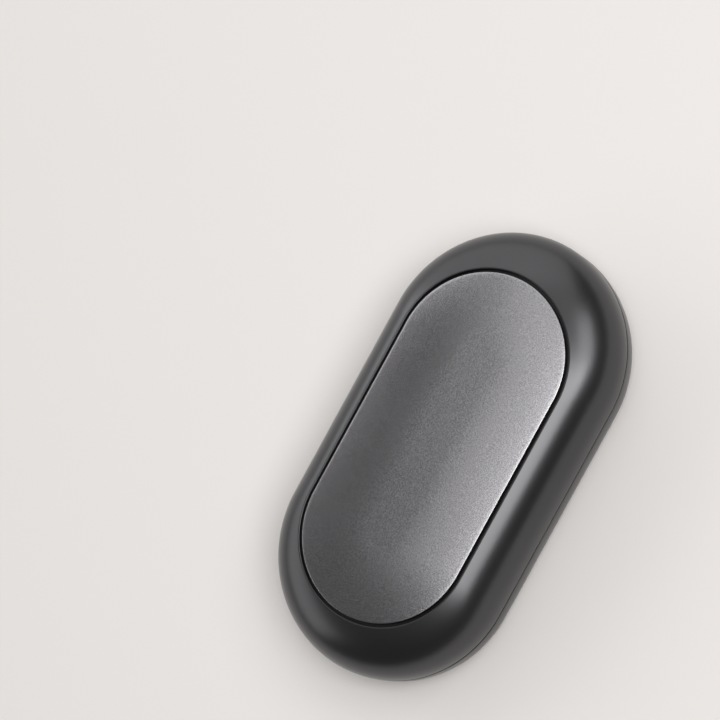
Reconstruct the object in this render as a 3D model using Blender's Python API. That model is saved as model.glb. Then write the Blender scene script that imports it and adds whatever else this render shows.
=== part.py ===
"""Electric hand warmer: a pill-shaped rechargeable pocket heater with an inset metal heat plate.

Metres, +Z up. X runs across the body, Y along it, and the flat back rests on Z = 0.
The charging port is in the -Y end, the power button and its lights are in the +Y end.
"""

import math

import bmesh
import bpy
from mathutils import Matrix, Vector

# Casing: outline, heights and walls
body_length = 0.0980
body_width = 0.0516
rim_height = 0.0194
split_height = 0.0080
wall = 0.0020
back_floor = 0.0020
base_inset = 0.0055
floor_inset = 0.0058
rim_shown_share = 0.45
rim_roundness = 2.5
base_roundness = 2.8

# Joint between the two shells: a tongue on the back shell stands inside the front shell's lip
split_gap = 0.0003
split_chamfer = 0.00015
lip_wall = 0.0010
tongue_wall = 0.0009
tongue_height = 0.0012

# Gaps between neighbours, and how far cutters run past what they cut
seat_gap = 0.0003
bond_gap = 0.0001
thread_gap = 0.0001
overrun = 0.0010

# Heat plate, and the well in the front shell that holds it
plate_from_side = 0.0075
plate_from_end = 0.0110
plate_thickness = 0.0015
plate_chamfer = 0.0002
plate_gap = 0.0007
plate_rise = 0.00015
plate_crown = 0.0008
plate_flat_share = 0.2
lip_round = 0.0003
ledge_width = 0.0020
bed_thickness = 0.0014
roof_wall = 0.0016

# Layers under the heat plate
tape_width = 0.0016
tape_margin = 0.0003
film_thickness = 0.0003
film_margin = 0.0004
pad_thickness = 0.0010
lead_slot_width = 0.0080
lead_slot_length = 0.0030
sensor_length = 0.0022
sensor_radius = 0.00045
sensor_distance = 0.0090

# Battery cell, its cradle and its protection board
board_bay_length = 0.0194
cell_from_side = 0.0078
cell_edge_round = 0.0022
cradle_wall = 0.0010
cradle_height = 0.0040
lower_pad_thickness = 0.0008
upper_pad_thickness = 0.00275
pad_side_margin = 0.0010
guard_board_length = 0.0030
guard_board_thickness = 0.0008
tab_width = 0.0040
tab_thickness = 0.0002
tab_length = 0.0022
tab_spacing = 0.0120
guard_lead_step = 0.0016
guard_lead_pitch = 0.0020
guard_board_margin = 0.0014

# Screw bosses that carry the boards, and the screws
boss_from_pocket = 0.00273
boss_radius = 0.0022
boss_shoulder = 0.0006
post_radius = 0.0019
case_screw_radius = 0.0010
case_screw_head_radius = 0.0018
case_screw_head_height = 0.0008
case_screw_length = 0.0090
board_screw_radius = 0.0008
board_screw_head_radius = 0.0015
board_screw_head_height = 0.0009
board_screw_length = 0.0040
board_screw_margin = 0.0030
board_screw_angle = math.radians(46)
button_screw_across = 0.0049
button_screw_along = 0.0016

# Circuit boards
board_thickness = 0.0010
main_board_inset = 0.0034

# Charging socket
usb_width = 0.00894
usb_height = 0.00326
usb_depth = 0.00735
usb_sheet = 0.0003
usb_sink = 0.0008
usb_tongue_width = 0.0066
usb_tongue_thickness = 0.0007
usb_tongue_reach = 0.0048
usb_base_depth = 0.0012

# Parts on the boards: each is width along X, length along Y, height
controller_size = (0.0040, 0.0040, 0.0009)
charger_size = (0.0050, 0.0040, 0.0015)
inductor_size = (0.0040, 0.0040, 0.0028)
heater_socket_size = (0.0056, 0.0028, 0.0040)
battery_socket_size = (0.0060, 0.0036, 0.0028)
harness_socket_size = (0.0036, 0.0024, 0.0026)
light_size = (0.0016, 0.0007, 0.0007)
socket_wall = 0.0004
plug_rise = 0.0012
side_part_margin = 0.0015
chip_from_bosses = 0.0052

# Power button, its switch and the four charge lights
button_width = 0.0120
button_tall = 0.0040
button_sink = 0.0002
button_clearance = 0.0002
button_travel = 0.0005
flange_border = 0.0008
flange_depth = 0.0047
stem_radius = 0.0013
stem_length = 0.0008
plunger_radius = 0.0009
plunger_reach = 0.0009
plunger_hold = 0.0007
switch_size = (0.0060, 0.0034, 0.0035)
light_count = 4
light_from_button = 0.0028
light_pitch = 0.0025
light_pin_radius = 0.0006
light_pin_clearance = 0.00015
light_pin_sink = 0.0001
light_bar_depth = 0.0012
light_bar_height = 0.0032
light_bar_margin = 0.0014

# Wires
heavy_lead_radius = 0.0006
sensor_lead_radius = 0.0003
harness_radius = 0.0010
harness_run_in = 0.0035

# How finely round shapes are divided
body_steps = 24
rim_steps = 12
base_steps = 8
inner_steps = 6
edge_steps = 3
crown_steps = 6
small_steps = 16
slot_steps = 10
lead_step_share = 2.4
sharp_angle = math.radians(35)

# Places worked out from the sizes above
half_length = body_length / 2
half_width = body_width / 2
end_centre = half_length - half_width
split_top = split_height + split_gap / 2
split_bottom = split_height - split_gap / 2
tongue_inset = lip_wall + seat_gap
tongue_top = split_height + tongue_height
rebate_top = tongue_top + seat_gap
inner_inset = tongue_inset + tongue_wall

plate_top = rim_height + plate_rise + plate_crown
plate_bottom = plate_top - plate_thickness
plate_width = body_width - 2 * plate_from_side
plate_length = body_length - 2 * plate_from_end
film_top = plate_bottom - bond_gap
film_bottom = film_top - film_thickness
ledge_top = film_bottom - bond_gap
bed_top = ledge_top - pad_thickness - bond_gap
bed_bottom = bed_top - bed_thickness
well_half_width = plate_width / 2 + plate_gap
well_half_length = plate_length / 2 + plate_gap
pocket_half_width = well_half_width - ledge_width
pocket_half_length = well_half_length - ledge_width
lip_half_width = well_half_width + lip_round
lip_half_length = well_half_length + lip_round
rim_rise_share = (1 - (1 - rim_shown_share) ** rim_roundness) ** (1 / rim_roundness)
crest_height = split_height + (rim_height - split_height) / rim_rise_share
crest_from_side = (half_width - lip_half_width) / rim_shown_share
crest_from_end = (half_length - lip_half_length) / rim_shown_share

bay_start = half_length - board_bay_length
cradle_half_length = bay_start - seat_gap - cradle_wall
cradle_top = back_floor + cradle_height
terminal_length = bond_gap + guard_board_length + seat_gap
cell_length = 2 * (cradle_half_length - seat_gap) - terminal_length
cell_width = body_width - 2 * cell_from_side
cell_bottom = back_floor + lower_pad_thickness + 2 * bond_gap
cell_top = bed_bottom - upper_pad_thickness - 2 * bond_gap
cell_thickness = cell_top - cell_bottom
cell_middle_y = terminal_length / 2
cell_port_end = cell_middle_y - cell_length / 2
cradle_half_width = cell_width / 2 + seat_gap
guard_lead_x = -(tab_spacing / 2 + tab_width / 2 + guard_lead_step + guard_lead_pitch / 2)
guard_board_width = 2 * (guard_lead_pitch / 2 + guard_board_margin - guard_lead_x)
boss_y = bay_start + boss_radius + boss_shoulder
boss_rise = boss_y - (pocket_half_length - pocket_half_width)
boss_x = math.sqrt((pocket_half_width - boss_from_pocket) ** 2 - boss_rise**2)
boss_top = bed_bottom - seat_gap

main_board_top = split_height - usb_height / 2 - bond_gap
main_board_bottom = main_board_top - board_thickness
main_board_radius = half_width - main_board_inset
button_height = split_height
button_board_top = button_height - switch_size[2] / 2 - bond_gap
button_board_bottom = button_board_top - board_thickness
button_board_radius = half_width - flange_depth - button_travel - seat_gap

flange_back = half_length - flange_depth
flange_inset = inner_inset + seat_gap + bond_gap
plunger_front = flange_back - stem_length - bond_gap
switch_front = plunger_front - plunger_reach
light_ring_radius = button_board_radius - light_size[1]
light_bar_radius = button_board_radius + seat_gap


def clear_scene():
    """Empties the scene before the model is made."""
    for old in list(bpy.data.objects):
        bpy.data.objects.remove(old, do_unlink=True)


def surface(name, colour, roughness, metallic=0.0):
    """A plain material with the piece's own colour and finish."""
    made = bpy.data.materials.new(name)
    made.use_nodes = True
    shader = made.node_tree.nodes["Principled BSDF"]
    shader.inputs["Base Color"].default_value = (*colour, 1.0)
    shader.inputs["Roughness"].default_value = roughness
    shader.inputs["Metallic"].default_value = metallic
    made.diffuse_color = (*colour, 1.0)
    return made


def place(name, shape, look):
    """Turns a finished bmesh into a named object with its material."""
    mesh = bpy.data.meshes.new(name)
    shape.to_mesh(mesh)
    shape.free()
    mesh.shade_smooth()
    mesh.set_sharp_from_angle(angle=sharp_angle)
    mesh.materials.append(look)
    made = bpy.data.objects.new(name, mesh)
    bpy.context.scene.collection.objects.link(made)
    return made


def place_tool(name, shape):
    """A helper solid that other pieces are cut by or joined with."""
    mesh = bpy.data.meshes.new(name)
    shape.to_mesh(mesh)
    shape.free()
    made = bpy.data.objects.new(name, mesh)
    made.hide_render = True
    made.display_type = "WIRE"
    bpy.context.scene.collection.objects.link(made)
    return made


def combine(target, tool, operation):
    """Adds a Boolean with a helper solid to the target."""
    modifier = target.modifiers.new(tool.name, "BOOLEAN")
    modifier.operation = operation
    modifier.object = tool


def pill(half_across, half_along, z, steps=body_steps):
    """A pill outline at height z: two half circles joined by straight sides along Y."""
    centre = half_along - half_across
    points = []
    for end in (1, -1):
        for step in range(steps + 1):
            angle = math.pi * step / steps
            x = end * half_across * math.cos(angle)
            y = end * (centre + half_across * math.sin(angle))
            points.append(Vector((x, y, z)))
    return points


def inset_pill(inset, z):
    """The body's outline drawn in by an inset, at height z."""
    return pill(half_width - inset, half_length - inset, z)


def end_pill(half_across, half_tall, y, z):
    """A pill outline lying along X in the upright plane at y, centred at height z."""
    points = []
    for point in pill(half_tall, half_across, y, slot_steps):
        points.append(Vector((point.y, y, z + point.x)))
    return points


def circle(radius, z, steps=small_steps):
    """A circle about the Z axis."""
    points = []
    for step in range(steps):
        angle = 2 * math.pi * step / steps
        points.append(Vector((radius * math.cos(angle), radius * math.sin(angle), z)))
    return points


def rectangle(half_across, half_along, z):
    """A rectangle about the Z axis."""
    corners = ((1, 1), (-1, 1), (-1, -1), (1, -1))
    return [Vector((half_across * x, half_along * y, z)) for x, y in corners]


def skin_into(shape, rings, closed=False):
    """Skins a solid over rings of equal point counts, capped at both ends or joined in a loop."""
    loops = [[shape.verts.new(point) for point in ring] for ring in rings]
    pairs = list(zip(loops, loops[1:]))
    if closed:
        pairs.append((loops[-1], loops[0]))
    faces = []
    for low, high in pairs:
        for index in range(len(low)):
            after = (index + 1) % len(low)
            faces.append(shape.faces.new((low[index], low[after], high[after], high[index])))
    if not closed:
        faces.append(shape.faces.new(reversed(loops[0])))
        faces.append(shape.faces.new(loops[-1]))
    bmesh.ops.recalc_face_normals(shape, faces=faces)
    return [vert for loop in loops for vert in loop]


def skin(rings, closed=False):
    """A new solid skinned over rings."""
    shape = bmesh.new()
    skin_into(shape, rings, closed)
    return shape


def turn_into(shape, profile, at, steps=small_steps):
    """Adds a solid turned about an upright axis: profile holds (radius, height) pairs."""
    verts = skin_into(shape, [circle(radius, z, steps) for radius, z in profile])
    bmesh.ops.translate(shape, verts=verts, vec=Vector((at[0], at[1], 0)))
    return verts


def box_into(shape, size, centre):
    """Adds a box of the given size about a centre."""
    scale = Matrix.Diagonal((*size, 1.0))
    move = Matrix.Translation(centre)
    return bmesh.ops.create_cube(shape, size=1.0, matrix=move @ scale)["verts"]


def block(name, size, centre, look):
    """A plain box as an object of its own."""
    shape = bmesh.new()
    box_into(shape, size, centre)
    return place(name, shape, look)


def on_board(name, size, at, board_top, look):
    """A component soldered to a board at (x, y)."""
    centre = Vector((at[0], at[1], board_top + bond_gap + size[2] / 2))
    return block(name, size, centre, look)


def bull_nose(inset_span, low, high, roundness, start, finish, steps):
    """(inset, height) pairs up a rounded edge that would run level at high, between two heights."""
    first = math.asin(((start - low) / (high - low)) ** (roundness / 2))
    last = math.asin(((finish - low) / (high - low)) ** (roundness / 2))
    pairs = []
    for step in range(steps + 1):
        angle = first + (last - first) * step / steps
        rise = math.sin(angle) ** (2 / roundness)
        run = max(math.cos(angle), 0) ** (2 / roundness)
        pairs.append((inset_span * (1 - run), low + (high - low) * rise))
    return pairs


def rim_pairs(high, start, finish, steps):
    """(share, height) pairs up a curve that would run level at high: share of the way to its crest."""
    return bull_nose(1, split_height, high, rim_roundness, start, finish, steps)


def rim_pill(share, z, border=0.0, shift=0.0):
    """Outline at height z, a share of the way to the rim's crest, inside a border, then drawn in."""
    from_side = border + (crest_from_side - border) * share + shift
    from_end = border + (crest_from_end - border) * share + shift
    return pill(half_width - from_side, half_length - from_end, z)


def rim_rings():
    """Outlines that lead up the rim from the body's edge to the well's lip, closer where it is steep."""
    start = split_top + split_chamfer
    pairs = rim_pairs(crest_height, start, rim_height, rim_steps)
    return [rim_pill(share, z) for share, z in pairs[1:]]


def lip_rings():
    """Outlines round the well's lip, from the rim's surface into the well."""
    rings = []
    for step in range(1, edge_steps + 1):
        angle = math.pi / 2 * step / edge_steps
        out = lip_round * (1 - math.sin(angle))
        down = lip_round * (1 - math.cos(angle))
        rings.append(pill(well_half_width + out, well_half_length + out, rim_height - down))
    return rings


def front_shell(look):
    """Moulded front: a bull-nosed cup, with a well in its top whose floor carries the heater."""
    rings = hollow_rings(rebate_top)[::-1]
    rings.append(inset_pill(lip_wall, rebate_top))
    rings.append(inset_pill(lip_wall, split_top))
    rings.append(inset_pill(split_chamfer, split_top))
    rings.append(inset_pill(0, split_top + split_chamfer))
    rings += rim_rings()
    rings += lip_rings()
    rings.append(pill(well_half_width, well_half_length, ledge_top))
    rings.append(pill(pocket_half_width, pocket_half_length, ledge_top))
    rings.append(pill(pocket_half_width, pocket_half_length, bed_top))
    shell = place("front_shell", skin(rings), look)
    combine(shell, bpy.data.objects["port_cutter"], "DIFFERENCE")
    combine(shell, bpy.data.objects["button_cutter"], "DIFFERENCE")
    combine(shell, bpy.data.objects["light_cutter"], "DIFFERENCE")
    combine(shell, bpy.data.objects["bed_cutter"], "DIFFERENCE")
    return shell


def hollow_rings(start):
    """Outlines up the inside of the front shell's wall to the underside of the bed."""
    pairs = rim_pairs(crest_height - roof_wall, start, bed_bottom, inner_steps)
    return [rim_pill(share, z, border=wall) for share, z in pairs]


def base_pairs():
    """(inset, depth) pairs down the back shell's outside, from near the parting line to the table."""
    return bull_nose(
        base_inset, 0, split_height, base_roundness, split_gap, split_height, base_steps
    )


def back_shell(look):
    """Moulded back: a shallow tray with a flat base, a tongue, a cell cradle and screw posts."""
    rings = []
    for inset, depth in reversed(base_pairs()):
        rings.append(inset_pill(inset, split_height - depth))
    rings[-1] = inset_pill(0, split_bottom - split_chamfer)
    rings.append(inset_pill(split_chamfer, split_bottom))
    rings.append(inset_pill(tongue_inset, split_bottom))
    rings.append(inset_pill(tongue_inset, tongue_top))
    rings.append(inset_pill(inner_inset, tongue_top))
    floor_depth = split_height - back_floor
    span = floor_inset - inner_inset
    inside = bull_nose(span, 0, floor_depth, base_roundness, 0, floor_depth, inner_steps)
    for inset, depth in inside:
        rings.append(inset_pill(inner_inset + inset, split_height - depth))
    shell = place("back_shell", skin(rings), look)
    combine(shell, bpy.data.objects["back_posts"], "UNION")
    combine(shell, bpy.data.objects["cell_cradle"], "UNION")
    combine(shell, bpy.data.objects["post_cutter"], "DIFFERENCE")
    combine(shell, bpy.data.objects["port_cutter"], "DIFFERENCE")
    combine(shell, bpy.data.objects["button_cutter"], "DIFFERENCE")
    combine(shell, bpy.data.objects["light_cutter"], "DIFFERENCE")
    return shell


def case_screw_places():
    """(x, y) of the four screws that hold the shells together."""
    return [(x * boss_x, y * boss_y) for y in (-1, 1) for x in (-1, 1)]


def main_screw_place(side):
    """(x, y) of the main board's screw on one side, near the board's round edge."""
    reach = main_board_radius - board_screw_margin
    x = reach * math.sin(board_screw_angle)
    y = end_centre + reach * math.cos(board_screw_angle)
    return side * x, -y


def button_screw_place(side):
    """(x, y) of the button board's screw on one side, beside a boss."""
    return side * (boss_x + button_screw_across), boss_y + button_screw_along


def board_screw_places():
    """(x, y, board underside, board top) of the four board screws."""
    places = []
    for side in (-1, 1):
        places.append((*main_screw_place(side), main_board_bottom, main_board_top))
    for side in (-1, 1):
        places.append((*button_screw_place(side), button_board_bottom, button_board_top))
    return places


def back_posts():
    """Bosses with a shoulder under each board, and posts for the boards' own screws."""
    shape = bmesh.new()
    foot = back_floor - overrun
    for x, y in case_screw_places():
        underside = main_board_bottom if y < 0 else button_board_bottom
        shoulder = underside - seat_gap
        wide = boss_radius + boss_shoulder
        profile = [(wide, foot), (wide, shoulder), (boss_radius, shoulder), (boss_radius, boss_top)]
        turn_into(shape, profile, (x, y))
    for x, y, underside, _ in board_screw_places():
        turn_into(shape, [(post_radius, foot), (post_radius, underside - seat_gap)], (x, y))
    return place_tool("back_posts", shape)


def cell_cradle():
    """A low rib frame on the tray's floor that keeps the cell from sliding."""
    foot = back_floor - overrun
    outer = (cradle_half_width + cradle_wall, cradle_half_length + cradle_wall)
    inner = (cradle_half_width, cradle_half_length)
    rings = [
        rectangle(*outer, foot),
        rectangle(*outer, cradle_top),
        rectangle(*inner, cradle_top),
        rectangle(*inner, foot),
    ]
    return place_tool("cell_cradle", skin(rings, closed=True))


def post_cutter():
    """Pilot holes down the bosses and posts."""
    shape = bmesh.new()
    hole = case_screw_radius + thread_gap
    tip = bed_top + bond_gap - case_screw_length - seat_gap
    for place_xy in case_screw_places():
        turn_into(shape, [(hole, tip), (hole, boss_top + overrun)], place_xy)
    hole = board_screw_radius + thread_gap
    for x, y, underside, top in board_screw_places():
        tip = top + bond_gap - board_screw_length - seat_gap
        turn_into(shape, [(hole, tip), (hole, underside)], (x, y))
    return place_tool("post_cutter", shape)


def port_cutter():
    """The slot through both shells that the charging socket's mouth lies in."""
    half_across = usb_width / 2 + seat_gap
    half_tall = usb_height / 2 + seat_gap
    inner_y = -half_length + wall + tongue_wall + overrun
    outer_y = -half_length - overrun
    rings = [end_pill(half_across, half_tall, y, split_height) for y in (outer_y, inner_y)]
    return place_tool("port_cutter", skin(rings))


def button_cutter():
    """The hole through both shells' end that the button moves in."""
    half_across = button_width / 2 + button_clearance
    half_tall = button_tall / 2 + button_clearance
    inner_y = flange_back
    outer_y = half_length + overrun
    rings = [end_pill(half_across, half_tall, y, button_height) for y in (inner_y, outer_y)]
    return place_tool("button_cutter", skin(rings))


def light_angles():
    """Angle of each charge light from the +Y direction, towards -X, past the button's flange."""
    flange_edge = math.asin((button_width / 2 + flange_border) / light_bar_radius)
    first = flange_edge + light_from_button / light_bar_radius
    return [first + light_pitch / light_bar_radius * index for index in range(light_count)]


def radial_pin_into(shape, radius, inner, outer, angle):
    """Adds a level pin that points out from the centre of the body's +Y end."""
    verts = skin_into(shape, [circle(radius, inner), circle(radius, outer)])
    turn = Matrix.Rotation(angle, 4, "Z") @ Matrix.Rotation(-math.pi / 2, 4, "X")
    move = Matrix.Translation((0, end_centre, button_height))
    bmesh.ops.transform(shape, matrix=move @ turn, verts=verts)


def light_cutter():
    """Round holes on the parting line for the light pipe's pins."""
    shape = bmesh.new()
    radius = light_pin_radius + light_pin_clearance
    for angle in light_angles():
        radial_pin_into(shape, radius, light_bar_radius, half_width + overrun, angle)
    return place_tool("light_cutter", shape)


def bed_cutter():
    """Screw holes and the lead slot through the well's floor."""
    shape = bmesh.new()
    low = bed_bottom - overrun
    high = bed_top + overrun
    hole = case_screw_radius + seat_gap
    for place_xy in case_screw_places():
        turn_into(shape, [(hole, low), (hole, high)], place_xy)
    lead_slot_into(shape, low, high, lead_slot_length)
    return place_tool("bed_cutter", shape)


def lead_slot_into(shape, low, high, length):
    """Adds a round-ended slot between the bosses at the port end, from its outer edge inwards."""
    half_across = lead_slot_width / 2
    centre_y = -boss_y - lead_slot_length / 2 + length / 2
    rings = []
    for z in (low, high):
        ring = pill(lead_slot_length / 2, half_across, z, slot_steps)
        rings.append([Vector((point.y, point.x * length / lead_slot_length, z)) for point in ring])
    verts = skin_into(shape, rings)
    bmesh.ops.translate(shape, verts=verts, vec=Vector((0, centre_y, 0)))


def heat_plate(look):
    """Aluminium plate with a flat underside, a softly crowned face and a fine chamfer round its edge."""
    half_across = plate_width / 2
    half_along = plate_length / 2
    face_across = half_across - plate_chamfer
    face_along = half_along - plate_chamfer
    rings = [
        pill(half_across, half_along, plate_bottom),
        pill(half_across, half_along, plate_top - plate_crown - plate_chamfer),
    ]
    for step in range(crown_steps + 1):
        share = 1 - step / crown_steps
        inset = face_across * (1 - plate_flat_share) * (1 - share)
        rings.append(pill(face_across - inset, face_along - inset, plate_top - plate_crown * share**2))
    return place("heat_plate", skin(rings), look)


def plate_tape(look):
    """Ring of double-sided tape that bonds the plate's border to the well's ledge."""
    outer = (plate_width / 2 - tape_margin, plate_length / 2 - tape_margin)
    inner = (outer[0] - tape_width, outer[1] - tape_width)
    rings = [
        pill(*outer, film_bottom),
        pill(*outer, film_top),
        pill(*inner, film_top),
        pill(*inner, film_bottom),
    ]
    return place("plate_tape", skin(rings, closed=True), look)


def heater_film(look):
    """Thin film heater under the plate, inside the tape ring."""
    border = tape_margin + tape_width + film_margin
    half_across = plate_width / 2 - border
    half_along = plate_length / 2 - border
    rings = [pill(half_across, half_along, z) for z in (film_bottom, film_top)]
    return place("heater_film", skin(rings), look)


def insulation_pad(look):
    """Foam under the film, cut out round the screw heads and along the sensor's leads."""
    half_across = pocket_half_width - seat_gap
    half_along = pocket_half_length - seat_gap
    low = bed_top + bond_gap
    pad = place("insulation_pad", skin([pill(half_across, half_along, z) for z in (low, ledge_top)]), look)
    shape = bmesh.new()
    hole = case_screw_head_radius + seat_gap
    for place_xy in case_screw_places():
        turn_into(shape, [(hole, low - overrun), (hole, ledge_top + overrun)], place_xy)
    channel = sensor_distance + lead_slot_length
    lead_slot_into(shape, low - overrun, ledge_top + overrun, channel)
    combine(pad, place_tool("pad_cutter", shape), "DIFFERENCE")
    return pad


def temperature_sensor(look):
    """Thermistor bead lying in the pad's channel against the film."""
    z = ledge_top - sensor_radius - bond_gap
    centre_y = -boss_y + sensor_distance - sensor_length
    shape = bmesh.new()
    half = sensor_length / 2
    rings = []
    for y in (-half, half):
        rings.append([Vector((point.x, y, point.y)) for point in circle(sensor_radius, 0)])
    verts = skin_into(shape, rings)
    bmesh.ops.translate(shape, verts=verts, vec=Vector((0, centre_y, z)))
    return place("temperature_sensor", shape, look)


def battery_cell(look):
    """Flat pouch cell with rounded long edges."""
    shape = bmesh.new()
    centre = Vector((0, cell_middle_y, (cell_bottom + cell_top) / 2))
    box_into(shape, (cell_width, cell_length, cell_thickness), centre)
    long_edges = []
    for edge in shape.edges:
        if abs(edge.verts[0].co.y - edge.verts[1].co.y) > cell_length / 2:
            long_edges.append(edge)
    bmesh.ops.bevel(
        shape, geom=long_edges, offset=cell_edge_round, segments=edge_steps, profile=0.5, affect="EDGES"
    )
    return place("battery_cell", shape, look)


def cell_pads(look):
    """Foam under the cell, and softer foam that fills the space up to the well's floor."""
    across = cell_width - 2 * cell_edge_round
    along = cell_length - 2 * pad_side_margin
    low = back_floor + bond_gap
    centre = Vector((0, cell_middle_y, low + lower_pad_thickness / 2))
    block("lower_cell_pad", (across, along, lower_pad_thickness), centre, look)
    across = cell_width - 2 * cell_edge_round - 2 * pad_side_margin
    centre = Vector((0, cell_middle_y, cell_top + bond_gap + upper_pad_thickness / 2))
    block("upper_cell_pad", (across, along, upper_pad_thickness), centre, look)


def cell_guard(board_look, tab_look):
    """Protection board across the cell's port end, with the cell's two tabs on top of it."""
    middle_z = (cell_bottom + cell_top) / 2
    near = cell_port_end - bond_gap
    centre = Vector((0, near - guard_board_length / 2, middle_z))
    size = (guard_board_width, guard_board_length, guard_board_thickness)
    block("cell_guard_board", size, centre, board_look)
    tab_z = middle_z + guard_board_thickness / 2 + bond_gap + tab_thickness / 2
    for name, side in (("cell_tab_positive", -1), ("cell_tab_negative", 1)):
        centre = Vector((side * tab_spacing / 2, near - tab_length / 2, tab_z))
        block(name, (tab_width, tab_length, tab_thickness), centre, tab_look)


def bay_board(name, radius, underside, end, look):
    """A board that fills one round end of the body, with holes for its bosses and screws."""
    reach = bay_start - end_centre
    first = math.asin(reach / radius)
    outline = []
    for step in range(body_steps + 1):
        angle = first + (math.pi - 2 * first) * step / body_steps
        x = end * radius * math.cos(angle)
        y = end * (end_centre + radius * math.sin(angle))
        outline.append(Vector((x, y, 0)))
    lift = Vector((0, 0, 1))
    rings = [[point + lift * z for point in outline] for z in (underside, underside + board_thickness)]
    board = place(name, skin(rings), look)
    shape = bmesh.new()
    low = underside - overrun
    high = underside + board_thickness + overrun
    hole = boss_radius + seat_gap
    for x, y in case_screw_places():
        if y * end > 0:
            turn_into(shape, [(hole, low), (hole, high)], (x, y))
    hole = board_screw_radius + seat_gap
    for x, y, _, _ in board_screw_places():
        if y * end > 0:
            turn_into(shape, [(hole, low), (hole, high)], (x, y))
    combine(board, place_tool(name + "_cutter", shape), "DIFFERENCE")
    return board


def charging_socket(metal_look, plastic_look):
    """Steel shell of the charging socket, open at its mouth, with a contact tongue inside."""
    mouth = -half_length + usb_sink
    back = mouth + usb_depth
    half_across = usb_width / 2
    half_tall = usb_height / 2
    hollow_back = back - usb_sheet
    hollow = (half_across - usb_sheet, half_tall - usb_sheet)
    rings = [
        end_pill(half_across, half_tall, back, split_height),
        end_pill(half_across, half_tall, mouth, split_height),
        end_pill(*hollow, mouth, split_height),
        end_pill(*hollow, hollow_back, split_height),
    ]
    place("socket_shell", skin(rings), metal_look)
    base_back = hollow_back - bond_gap
    base_front = base_back - usb_base_depth
    base = (hollow[0] - bond_gap, hollow[1] - bond_gap)
    blade = (usb_tongue_width / 2, usb_tongue_thickness / 2)
    rings = [
        end_pill(*base, base_back, split_height),
        end_pill(*base, base_front, split_height),
        end_pill(*blade, base_front, split_height),
        end_pill(*blade, base_front - usb_tongue_reach, split_height),
    ]
    place("socket_tongue", skin(rings), plastic_look)


def main_board_parts(chip_look, coil_look, socket_look):
    """Controller, charger and inductor between the bosses and the charging socket."""
    chip_y = -boss_y - chip_from_bosses
    on_board("controller_chip", controller_size, (0, chip_y), main_board_top, chip_look)
    on_board("charger_chip", charger_size, (boss_x, chip_y), main_board_top, chip_look)
    on_board("power_inductor", inductor_size, (-boss_x, chip_y), main_board_top, coil_look)
    on_board("heater_socket", heater_socket_size, (0, -boss_y), main_board_top, socket_look)


def side_part_place(size, board_radius):
    """Distances from the middle, across and along, of a part in a board's outer corner."""
    y = bay_start + seat_gap + size[1] / 2
    rise = y + size[1] / 2 - end_centre
    x = math.sqrt(board_radius**2 - rise**2) - side_part_margin - size[0] / 2
    return x, y


def plug_place():
    """(x, y) of the battery socket and its plug."""
    x, y = side_part_place(battery_socket_size, main_board_radius)
    return -x, -y


def harness_places():
    """(x, y) of the harness sockets on the main board and on the button board."""
    main_x, main_y = side_part_place(harness_socket_size, main_board_radius)
    return (main_x, -main_y), side_part_place(harness_socket_size, button_board_radius)


def battery_connector(look):
    """Open-topped socket on the main board with the cell's plug in it."""
    size = battery_socket_size
    x, y = plug_place()
    low = main_board_top + bond_gap
    half = (size[0] / 2, size[1] / 2)
    inner = (half[0] - socket_wall, half[1] - socket_wall)
    rings = [
        rectangle(*half, low),
        rectangle(*half, low + size[2]),
        rectangle(*inner, low + size[2]),
        rectangle(*inner, low + socket_wall),
    ]
    shape = bmesh.new()
    verts = skin_into(shape, rings)
    bmesh.ops.translate(shape, verts=verts, vec=Vector((x, y, 0)))
    place("battery_socket", shape, look)
    plug_low = low + socket_wall + bond_gap
    plug_high = low + size[2] + plug_rise
    plug = (2 * (inner[0] - bond_gap), 2 * (inner[1] - bond_gap), plug_high - plug_low)
    block("battery_plug", plug, Vector((x, y, (plug_low + plug_high) / 2)), look)


def harness_sockets(look):
    """The two sockets that the cable between the boards runs to."""
    main_place, button_place = harness_places()
    on_board("main_harness_socket", harness_socket_size, main_place, main_board_top, look)
    on_board("button_harness_socket", harness_socket_size, button_place, button_board_top, look)


def casing_offset(name, offset):
    """A solid whose side is the casing's outer surface moved outwards by an offset."""
    rings = [inset_pill(inset - offset, split_height - depth) for inset, depth in reversed(base_pairs())]
    pairs = rim_pairs(crest_height, split_top + split_chamfer, bed_bottom, rim_steps)
    rings += [rim_pill(share, z, shift=-offset) for share, z in pairs]
    return place_tool(name, skin(rings))


def button_cap(look):
    """Pill button whose face follows the casing, with a flange behind the wall and a stem."""
    half_across = button_width / 2
    half_tall = button_tall / 2
    outer_y = half_length + overrun
    rings = [end_pill(half_across, half_tall, y, button_height) for y in (flange_back, outer_y)]
    cap = place("button_cap", skin(rings), look)
    combine(cap, casing_offset("button_face", -button_sink), "INTERSECT")
    half_across += flange_border
    half_tall += flange_border
    low = button_height - half_tall - overrun
    high = button_height + half_tall + overrun
    rings = [end_pill(half_across, half_tall, y, button_height) for y in (flange_back, half_length)]
    flange = place_tool("button_flange", skin(rings))
    seat = [inset_pill(flange_inset, z) for z in (low, high)]
    combine(flange, place_tool("flange_seat", skin(seat)), "INTERSECT")
    combine(cap, flange, "UNION")
    shape = bmesh.new()
    upright_rod_into(shape, stem_radius, flange_back - stem_length, flange_back + stem_radius)
    combine(cap, place_tool("button_stem", shape), "UNION")
    return cap


def upright_rod_into(shape, radius, back, front):
    """Adds a round rod along Y at the button's height."""
    rings = []
    for y in (back, front):
        rings.append([Vector((point.x, y, button_height + point.y)) for point in circle(radius, 0)])
    return skin_into(shape, rings)


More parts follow.
